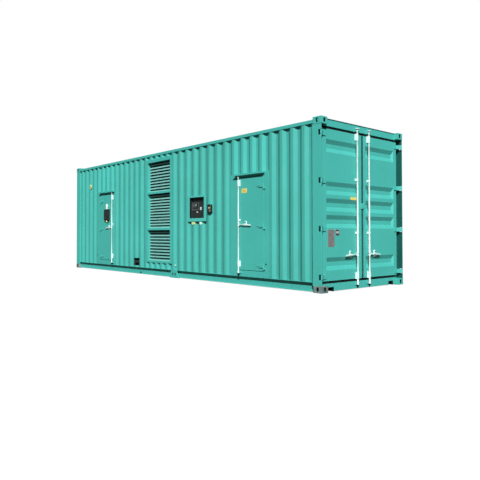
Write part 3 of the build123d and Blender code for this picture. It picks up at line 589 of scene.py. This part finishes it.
for name, on, u, rod, toHinge in locks:
    piece = build(name + "LockRod", lockRod(on, u, rod, toHinge), zincSteel, name + "_lock")
    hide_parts(name.replace("_side", "_door") + "_rod")
    # painted shade: a dark round piece under the lower cam stands in for the shade below the rod's end
    foot = lathe(shifted(rodEndShade, rod["low"]), place(on, u, 0, rod["away"]), upAxis, 20)
    build(name + "RodEndShade", [foot], sealRubber, name + "_lock")
    # bolts of the guides: four on a tall one and two on a short one
    shapes = []
    for z in rod["tall"] + rod["short"]:
        for across in (-guide["across"], guide["across"]):
            for step in ((-guide["up"], guide["up"]) if z in rod["tall"] else (0,)):
                shapes += bolt(on, u + across, z + step, guide["seat"], guide["bolt"])
    # the catch behind the handle: its plate, round top and rivets
    middle = u + toHinge * catch["off"]
    shapes.append(lathe([(0, catch["knob"]), (rod["away"] - catch["knobShort"], catch["knob"]),
                         (rod["away"] - catch["knobEnd"], catch["knobTop"])],
                        place(on, middle, rod["handle"] + catch["knobUp"], 0), on["axes"][2], 20))
    shapes.append(pad(on, middle, rod["handle"], catch["wide"], catch["tall"], 0, catch["thick"], catch["corner"]))
    for step in (-catch["rivetUp"], catch["rivetUp"]):
        for across in (-catch["rivetAcross"], catch["rivetAcross"]):
            shapes.append(rivet(on, middle + across, rod["handle"] + step, catch["rivetSeat"], catch["rivet"]))
    build(name + "LockFittings", shapes, zincSteel, name + "_door")
    # keepers on the housing: cheek plates beside the prongs, and on the cargo doors a round cap over the rod
    shapes = []
    seat = rod["keeperSeat"]
    for z in (rod["low"] + keeper["fromEnd"], rod["high"] - keeper["fromEnd"]):
        for side in (-1, 1):
            beside = u + side * (rod["radius"] + keeper["off"])
            shapes.append(pad(on, beside, z, keeper["wide"], keeper["tall"], seat, seat + keeper["thick"],
                              keeper["corner"]))
            shapes += bolt(on, beside + side * keeper["boltOff"], z, seat + keeper["boltSeat"], keeper["bolt"])
    if rod is cargoRod:
        cap = lathe(shifted(rodCap["profile"], rod["high"]), place(on, u, 0, rod["away"] + rodCap["away"]), upAxis, 28)
        build(name + "RodCap", [cap], zincSteel, "housing")
    build(name + "Keepers", shapes, housingPaint, "housing")
print("lock rods built", len(locks))


# cargo doors: gasket lips, lock plate, labels

cargoDoor = {"low": 0.184, "top": 2.721, "edge": 1.104, "gap": 0.006}
lip = {"margin": 0.05, "off": 0.014, "tall": 0.032, "back": -0.034, "front": -0.016, "corner": 0.002,
       "freeEdge": 0.0145, "freeWide": 0.018, "freeShort": 0.004, "freeBack": -0.002, "freeFront": 0.0016,
       "freeCorner": 0.001}
lockPlate = {"low": 1.412, "top": 1.511, "off": 0.0265, "wide": 0.045, "back": -0.001, "front": 0.012,
             "corner": 0.005, "chamfer": 0.002, "boltOff": 0.034, "boltUp": 0.028, "boltSeat": 0.0115, "bolt": 0.005}
middle = (cargoDoor["low"] + cargoDoor["top"]) / 2
tall = cargoDoor["top"] - cargoDoor["low"]
for name, side in (("near_cargo", -1), ("far_cargo", 1)):
    across = side * (cargoDoor["edge"] + cargoDoor["gap"]) / 2
    wide = cargoDoor["edge"] - cargoDoor["gap"] - lip["margin"]
    # lips above and below fill most of the gap, and a flat one lines the free edge
    lips = [pad(cargoFace, across, z, wide, lip["tall"], lip["back"], lip["front"], lip["corner"])
            for z in (cargoDoor["top"] + lip["off"], cargoDoor["low"] - lip["off"])]
    lips.append(pad(cargoFace, side * lip["freeEdge"], middle, lip["freeWide"], tall - lip["freeShort"],
                    lip["freeBack"], lip["freeFront"], lip["freeCorner"]))
    build(name + "Lips", lips, sealRubber, name + "_door")
    height = (lockPlate["low"] + lockPlate["top"]) / 2
    plate = [pad(cargoFace, side * lockPlate["off"], height, lockPlate["wide"], lockPlate["top"] - lockPlate["low"],
                 lockPlate["back"], lockPlate["front"], lockPlate["corner"], lockPlate["chamfer"])]
    for step in (-lockPlate["boltUp"], lockPlate["boltUp"]):
        plate += bolt(cargoFace, side * lockPlate["boltOff"], height + step, lockPlate["boltSeat"], lockPlate["bolt"])
    build(name + "LockPlate", plate, housingPaint, name + "_door")

label = {"u": -0.262, "v": 1.584, "wide": 0.172, "tall": 0.052, "thick": 0.0012, "corner": 0.004, "chamfer": 0.0004}
build("cargoLabel", [pad(cargoFace, label["u"], label["v"], label["wide"], label["tall"], 0, label["thick"],
                         label["corner"], label["chamfer"])], yellowLabel, "near_cargo_door")

# plates with rows of plain bars
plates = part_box("door_plates")
placard = {"u": plates[0].y + 0.090, "v": 0.897, "wide": 0.180, "tall": 0.290, "rivetAcross": 0.082,
           "rivetUp": 0.137, "rivetSeat": 0.0028, "rivet": 0.0035}
plateRows = {"count": 13, "margin": 0.022, "pitch": 0.0205, "tall": 0.008, "ragged": 0.015, "seat": 0.0025,
             "rise": 0.0035, "corner": 0.001, "chamfer": 0.0003}
shapes = []
for index in range(plateRows["count"]):
    short = plateRows["ragged"] * (index % 3)
    v = placard["v"] + placard["tall"] / 2 - plateRows["margin"] - index * plateRows["pitch"]
    wide = placard["wide"] - 2 * plateRows["margin"] - 2 * short
    shapes.append(pad(cargoFace, placard["u"] - short, v, wide, plateRows["tall"], plateRows["seat"],
                      plateRows["rise"], plateRows["corner"], plateRows["chamfer"]))
build("placardRows", shapes, plateInk, "near_cargo_door")
shapes = [rivet(cargoFace, placard["u"] + across, placard["v"] + up, placard["rivetSeat"], placard["rivet"])
          for across in (-placard["rivetAcross"], placard["rivetAcross"])
          for up in (-placard["rivetUp"], placard["rivetUp"])]
small = {"u": plates[0].y + 0.255, "v": 0.992, "size": 0.084, "seat": 0.0025, "rise": 0.0033, "corner": 0.004,
         "chamfer": 0.0003}
mark = {"off": 0.016, "wide": 0.016, "tall": 0.040, "rise": 0.0042, "corner": 0.003, "chamfer": 0.0004}
shapes += [pad(cargoFace, small["u"] + across, small["v"], mark["wide"], mark["tall"], small["seat"], mark["rise"],
               mark["corner"], mark["chamfer"]) for across in (-mark["off"], mark["off"])]
build("plateMarks", shapes, whitePlastic, "near_cargo_door")
build("smallPlateFace", [pad(cargoFace, small["u"], small["v"], small["size"], small["size"], small["seat"],
                             small["rise"], small["corner"], small["chamfer"])],
      blackPlastic, "near_cargo_door")
print("cargo doors dressed")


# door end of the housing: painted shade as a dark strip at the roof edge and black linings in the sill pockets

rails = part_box("door_end_rails")
# painted shade: a dark teal strip at the top of the header stands in for the shadowed gap at the roof edge
roofShade = {"half": 1.055, "drop": 0.010, "tall": 0.018, "back": -0.002, "front": 0.004, "corner": 0.002}
build("roofEdgeShade", [pad(cargoFace, 0, rails[1].z - roofShade["drop"], 2 * roofShade["half"], roofShade["tall"], roofShade["back"],
                       roofShade["front"], roofShade["corner"])], tealShade, "housing")
# painted shade: black plates on the walls of the sill pockets stand in for the shade inside them
pocket = {"start": 0.977, "wide": 0.160, "top": 0.080, "deep": 0.130, "mouth": 0.001, "skin": 0.0025,
          "fit": 0.0015, "short": 0.006, "narrow": 0.004, "corner": 0.0005, "chamfer": 0.0002}
shapes = []
for side in (-1, 1):
    centre = side * (pocket["start"] - pocket["wide"] / 2)
    for edge in (-1, 1):
        shapes.append(pad(cargoFace, centre + edge * (pocket["wide"] / 2 - pocket["fit"]),
                          pocket["top"] / 2 + pocket["mouth"], pocket["skin"], pocket["top"] - pocket["short"],
                          -pocket["deep"], -pocket["mouth"], pocket["corner"], pocket["chamfer"]))
    shapes.append(pad(cargoFace, centre, pocket["top"] - pocket["fit"], pocket["wide"] - pocket["narrow"],
                      pocket["skin"], -pocket["deep"], -pocket["mouth"], pocket["corner"], pocket["chamfer"]))
build("pocketShadeLining", shapes, sealRubber, "housing")

# painted shade: black linings inside the eyes of the castings stand in for the shade in them
eye = {"along": 0.089, "inward": 0.086, "height": 0.059, "tall": 0.0785, "wide": 0.0505, "skin": 0.001,
       "deep": 0.027, "mouth": 0.0008, "corner": 0.025}
shapes = []
for z in (eye["height"], housing["height"] - eye["height"]):
    for endSide in (-1, 1):
        endFace = face((endSide * endX, 0, 0), (0, 1, 0), (0, 0, 1), (endSide, 0, 0))
        for side in (-1, 1):
            sideFace = longFace(side * sideY, side)
            for on, u in ((endFace, side * (sideY - eye["inward"])), (sideFace, endSide * (endX - eye["along"]))):
                shapes.append(collar(on, u, z, eye["wide"], eye["tall"], eye["skin"], -eye["deep"], -eye["mouth"],
                                     eye["corner"]))
build("eyeShadeLinings", shapes, sealRubber, "housing")

# weld beads where the posts meet their castings
weld = {"height": 0.1185, "size": 0.0032, "post": 0.176, "width": 0.150, "inset": 0.0032}
shapes = []
for z in (weld["height"], housing["height"] - weld["height"]):
    for endSide in (-1, 1):
        for side in (-1, 1):
            x = endSide * (endX - weld["inset"])
            y = side * (sideY - weld["inset"])
            shapes.append(bead((x, y, z), (x - endSide * weld["post"], y, z), weld["size"]))
            shapes.append(bead((x, y, z), (x, y - side * weld["width"], z), weld["size"]))
build("postWelds", shapes, housingPaint, "housing")
print("door end dressed")


# side doors: hinge straps, labels, display and lamp

strap = {"right": 1.330, "left": 7.625, "hinges": (0.380, 1.115, 1.850), "tongue": 0.104, "run": 0.092,
         "away": 0.004, "sink": 0.0025, "thick": 0.0065, "thin": 0.0045, "half": 0.027, "shrink": 0.018,
         "bolts": (0.045, 0.085), "boltSeat": 0.0125, "bolt": 0.005, "rivetAt": 0.140, "rivetSeat": 0.006,
         "rivet": 0.006}
for name, station, sign in (("right_side", strap["right"], -1), ("left_side", strap["left"], 1)):
    shapes = []
    for z in strap["hinges"]:
        # tongue that runs on from the strap: its half height and thickness shrink evenly along it
        share = np.linspace(0, 1, 12)
        path = place(sideLeafFace, at(station) + sign * (strap["tongue"] + strap["run"] * share), z,
                     strap["away"] - strap["sink"] * share)
        shapes.append(sweep(path, strap["thick"] - strap["thin"] * share, strap["half"] - strap["shrink"] * share,
                            upAxis))
        for step in strap["bolts"]:
            shapes += bolt(sideLeafFace, at(station) + sign * step, z, strap["boltSeat"], strap["bolt"])
        shapes.append(rivet(sideLeafFace, at(station) + sign * strap["rivetAt"], z, strap["rivetSeat"],
                            strap["rivet"]))
    build(name + "Straps", shapes, housingPaint, name + "_door")

doorLabel = {"station": 1.850, "v": 1.786, "wide": 0.146, "tall": 0.086, "thick": 0.0012, "corner": 0.004,
             "chamfer": 0.0004, "markWide": 0.55, "markTall": 0.5, "markSeat": 0.0008, "markRise": 0.0020}
build("doorLabel", [pad(sideLeafFace, at(doorLabel["station"]), doorLabel["v"], doorLabel["wide"], doorLabel["tall"],
                        0, doorLabel["thick"], doorLabel["corner"], doorLabel["chamfer"])],
      yellowLabel, "right_side_door")
build("doorLabelMark", [pad(sideLeafFace, at(doorLabel["station"]), doorLabel["v"],
                            doorLabel["wide"] * doorLabel["markWide"], doorLabel["tall"] * doorLabel["markTall"],
                            doorLabel["markSeat"], doorLabel["markRise"], doorLabel["corner"],
                            doorLabel["chamfer"])], amberLabel, "right_side_door")

low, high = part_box("door_display")
screen = longFace(low.y)
display = {"u": (low.x + high.x) / 2, "v": (low.z + high.z) / 2, "inset": 0.006, "bezel": 0.012, "back": -0.001,
           "front": 0.0035, "rows": 7, "rowTop": 0.096, "pitch": 0.032, "rowWide": 0.176, "rowTall": 0.013,
           "rowRise": 0.0018, "rowCorner": 0.002, "rowChamfer": 0.0004}
build("displayBezel", [collar(screen, display["u"], display["v"], high.x - low.x - display["inset"],
                              high.z - low.z - display["inset"], display["bezel"], display["back"],
                              display["front"])], blackPlastic, "left_side_door")
shapes = [pad(screen, display["u"], display["v"] + display["rowTop"] - index * display["pitch"], display["rowWide"],
              display["rowTall"], display["back"], display["rowRise"], display["rowCorner"], display["rowChamfer"])
          for index in range(display["rows"])]
build("displayRows", shapes, displayInk, "left_side_door")
knob = {"inward": 0.025, "drop": 0.056, "profile": ((0, 0.014), (0.008, 0.022), (0.044, 0.022), (0.054, 0.015))}
build("displayKnob", [lathe(knob["profile"], (display["u"], low.y + knob["inward"], low.z - knob["drop"]), upAxis,
                            20)], yellowLabel, "left_side_door")

low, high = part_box("door_lamp")
lamp = {"band": ((0.030, 0.0245), (0.033, 0.0265), (0.058, 0.0265), (0.061, 0.0245)),
        "foot": ((-0.001, 0.026), (0.010, 0.026), (0.012, 0.0245))}
centre = ((low.x + high.x) / 2, (low.y + high.y) / 2, 0)
build("lampBand", [lathe(shifted(lamp["band"], low.z), centre, upAxis, 28)], creamPlastic, "left_side_door")
build("lampFoot", [lathe(shifted(lamp["foot"], low.z), centre, upAxis, 28)], blackPlastic, "left_side_door")
print("side doors dressed")


# control window, emergency stop and tags

low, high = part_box("control_window_frame")
frameFace = longFace(low.y)
windowBolt = {"inset": 0.022, "fromCorner": 0.115, "seat": -0.0005, "size": 0.0042}
shapes = []
for x in np.linspace(low.x + windowBolt["inset"], high.x - windowBolt["inset"], 5):
    shapes += bolt(frameFace, x, high.z - windowBolt["inset"], windowBolt["seat"], windowBolt["size"])
for z in np.linspace(low.z + windowBolt["fromCorner"], high.z - windowBolt["fromCorner"], 3):
    for x in (low.x + windowBolt["inset"], high.x - windowBolt["inset"]):
        shapes += bolt(frameFace, x, z, windowBolt["seat"], windowBolt["size"])
build("windowBolts", shapes, housingPaint, "housing")
opening = {"station": 3.330, "v": 1.5215, "wide": 0.489, "tall": 0.436, "skin": 0.003, "deep": -0.036,
           "front": 0.008, "corner": 0.004}
build("windowLining", [collar(controlFace, at(opening["station"]), opening["v"], opening["wide"], opening["tall"],
                              opening["skin"], opening["deep"], opening["front"], opening["corner"])],
      sealRubber, "housing")

# the controller's face, its places and sizes given as shares of the panel behind
low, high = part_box("controller_panel")
panel = longFace(low.y)
wide, tall = high.x - low.x, high.z - low.z
controls = {"rim": 0.020, "rimInset": 0.004, "rimFront": 0.004, "back": -0.001, "keys": (0.16, 0.36, 0.56),
            "key": (0.14, 0.13, 0.11, 0.005), "screen": (0.36, 0.60, 0.48, 0.42, 0.003, 0.006),
            "knobs": ((0.58, 0.66), (0.71, -0.21)), "oblong": (1.20, 0.21)}
knobForm = {"profile": ((-0.014, 0.014), (0.001, 0.014), (0.004, 0.0105), (0.005, 0.0042)), "wide": 0.030,
            "tall": 0.066, "deep": -0.014, "front": 0.004, "corner": 0.012, "chamfer": 0.003}
shapes = [collar(panel, (low.x + high.x) / 2, (low.z + high.z) / 2, wide - controls["rimInset"],
                 tall - controls["rimInset"], controls["rim"], controls["back"], controls["rimFront"])]
up, keyWide, keyTall, front = controls["key"]
shapes += [pad(panel, low.x + wide * share, low.z + tall * up, wide * keyWide, tall * keyTall, controls["back"], front)
           for share in controls["keys"]]
across, up, screenWide, screenTall, front, corner = controls["screen"]
shapes.append(pad(panel, low.x + wide * across, low.z + tall * up, wide * screenWide, tall * screenTall,
                  controls["back"], front, corner))
build("controllerFace", shapes, panelGrey, "housing")
shapes = [lathe(knobForm["profile"], (low.x + wide * across, low.y, low.z + tall * up), outAxis, 20)
          for across, up in controls["knobs"]]
across, up = controls["oblong"]
shapes.append(pad(panel, low.x + wide * across, low.z + tall * up, knobForm["wide"], knobForm["tall"],
                  knobForm["deep"], knobForm["front"], knobForm["corner"], knobForm["chamfer"]))
build("controllerKnobs", shapes, whitePlastic, "housing")

low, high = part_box("emergency_stop")
# painted shade: a black cap on top, a black plate under the box and a black rim round its front stand in for the shade
# round the emergency stop
stop = {"topBack": 0.028, "topWide": 0.086, "topTall": 0.070, "topSink": 0.002, "topRise": 0.022, "topCorner": 0.014,
        "topChamfer": 0.006, "underShadeBack": 0.030, "underShadeWide": 0.104, "underShadeTall": 0.078, "underShadeDrop": 0.020,
        "underShadeRise": 0.002, "underShadeCorner": 0.012, "underShadeChamfer": 0.004, "rim": 0.010, "rimProud": 0.004,
        "rimBack": -0.012, "rimFront": 0.003, "buttonInward": 0.004, "buttonDrop": 0.004,
        "button": ((0, 0.013), (0.010, 0.017), (0.016, 0.016), (0.019, 0.010))}
shelf = face((0, 0, 0), (1, 0, 0), (0, -1, 0), (0, 0, 1))
centre, height = (low.x + high.x) / 2, (low.z + high.z) / 2
shapes = [pad(shelf, centre, -low.y - stop["topBack"], stop["topWide"], stop["topTall"], high.z - stop["topSink"],
              high.z + stop["topRise"], stop["topCorner"], stop["topChamfer"]),
          pad(shelf, centre, -low.y - stop["underShadeBack"], stop["underShadeWide"], stop["underShadeTall"],
              low.z - stop["underShadeDrop"], low.z + stop["underShadeRise"], stop["underShadeCorner"], stop["underShadeChamfer"]),
          collar(longFace(low.y), centre, height, high.x - low.x + stop["rimProud"],
                 high.z - low.z - stop["rimProud"], stop["rim"], stop["rimBack"], stop["rimFront"])]
build("stopShadeCaps", shapes, sealRubber, "housing")
build("stopButton", [lathe(stop["button"], (centre, low.y + stop["buttonInward"], height - stop["buttonDrop"]),
                           outAxis, 24)], buttonRed, "housing")

tag = {"back": -0.001, "front": 0.004, "corner": 0.006}
for name, station, z, wide, tall, material in (("yellowTag", 3.4535, 1.198, 0.118, 0.056, paleLabel),
                                               ("whiteTag", 3.1985, 1.194, 0.084, 0.052, mintLabel)):
    build(name, [pad(controlFace, at(station), z, wide, tall, tag["back"], tag["front"], tag["corner"])], material,
          "housing")
wallSign = {"station": 8.248, "v": 2.295, "disc": ((-0.004, 0.064), (0.0015, 0.066), (0.003, 0.064)),
            "centre": ((0.002, 0.026), (0.0042, 0.026), (0.0045, 0.024))}
signPlace = place(controlFace, at(wallSign["station"]), wallSign["v"], 0)
build("wallSign", [lathe(wallSign["disc"], signPlace, outAxis, 32)], paleLabel, "housing")
build("signCentre", [lathe(wallSign["centre"], signPlace, outAxis, 24)], oliveInk, "housing")
print("controls dressed")


# small things on both long sides

# painted shade: black discs on the control side stand in for the shade in two round holes
sideHoleShade = {"places": ((1.283, 0.418), (7.817, 0.405)), "profile": ((-0.001, 0.017), (0.002, 0.017), (0.003, 0.0136))}
build("sideHoleShades", [lathe(sideHoleShade["profile"], place(controlFace, at(station), z, 0), outAxis, 20)
                    for station, z in sideHoleShade["places"]], sealRubber, "housing")
# painted shade: black discs in the holes of the middle feet, and an oval plate deep in a hole of the bottom rail,
# stand in for the shade inside them
footHoleShade = {"stations": (4.215, 4.125), "height": 0.086, "profile": ((-0.002, 0.023), (0.001, 0.023), (0.002, 0.0184))}
railHoleShade = {"station": 5.648, "height": 0.042, "wide": 0.076, "tall": 0.036, "back": -0.054, "front": -0.050,
            "corner": 0.0175}
shapes = [lathe(footHoleShade["profile"], place(on, at(station), footHoleShade["height"], 0), on["axes"][2], 20)
          for on in (controlFace, farFace) for station in footHoleShade["stations"]]
shapes.append(pad(controlFace, at(railHoleShade["station"]), railHoleShade["height"], railHoleShade["wide"], railHoleShade["tall"],
                  railHoleShade["back"], railHoleShade["front"], railHoleShade["corner"]))
build("holeShades", shapes, sealRubber, "housing")
stud = {"station": 4.108, "height": 0.279, "profile": ((-0.002, 0.012), (0.006, 0.012), (0.010, 0.007))}
build("paleStud", [lathe(stud["profile"], place(controlFace, at(stud["station"]), stud["height"], 0), outAxis, 20)],
      whitePlastic, "housing")
louvre = {"left": 5.345, "right": 4.250, "low": 0.305, "top": 2.726, "inset": 0.028, "fromEnd": 0.05, "count": 12,
          "seat": -0.0005, "rivet": 0.0065}
shapes = []
for on in (controlFace, farFace):
    for station in (louvre["left"] - louvre["inset"], louvre["right"] + louvre["inset"]):
        for z in np.linspace(louvre["low"] + louvre["fromEnd"], louvre["top"] - louvre["fromEnd"], louvre["count"]):
            shapes.append(rivet(on, at(station), z, louvre["seat"], louvre["rivet"]))
build("louvreRivets", shapes, housingPaint, "housing")
hood = {"rights": (1.305, 6.865), "wide": 0.805, "height": 2.098, "count": 6, "seat": -0.0005, "bolt": 0.0042}
shapes = []
for on in (controlFace, farFace):
    for right in hood["rights"]:
        for share in np.linspace(0.04, 0.96, hood["count"]):
            shapes += bolt(on, at(right + hood["wide"] * share), hood["height"], hood["seat"], hood["bolt"])
build("hoodBolts", shapes, housingPaint, "housing")
print("long sides dressed")


# floor

floorSet = {"reach": 60, "level": -0.002, "bounce": (0.07, 0.07, 0.07), "seen": (0.86, 0.86, 0.86), "glow": 0.80,
            "rough": 0.9}
floorMesh = bpy.data.meshes.new("floor")
reach = floorSet["reach"]
floorMesh.from_pydata([(x, y, floorSet["level"]) for x, y in ((-reach, -reach), (reach, -reach), (reach, reach),
                                                              (-reach, reach))], [], [(0, 1, 2, 3)])
floor = bpy.data.objects.new("floor", floorMesh)
bpy.context.collection.objects.link(floor)
floorPaint, floorTree, floorShader = newMaterial("floorPaint")
floorPath = floorTree.nodes.new("ShaderNodeLightPath")
join(floorTree, blendColour(floorTree, floorPath.outputs["Is Camera Ray"], floorSet["bounce"], floorSet["seen"]),
     floorShader.inputs["Base Color"])
floorShader.inputs["Roughness"].default_value = floorSet["rough"]
floorMix = floorTree.nodes.new("ShaderNodeMixShader")
floorGlow = floorTree.nodes.new("ShaderNodeEmission")
join(floorTree, multiply(floorTree, floorPath.outputs["Is Camera Ray"], floorSet["glow"]), floorMix.inputs["Fac"])
join(floorTree, floorShader.outputs[0], floorMix.inputs[1])
join(floorTree, floorGlow.outputs[0], floorMix.inputs[2])
join(floorTree, floorMix.outputs[0], floorTree.nodes["Material Output"].inputs["Surface"])
floorMesh.materials.append(floorPaint)
print("floor laid")
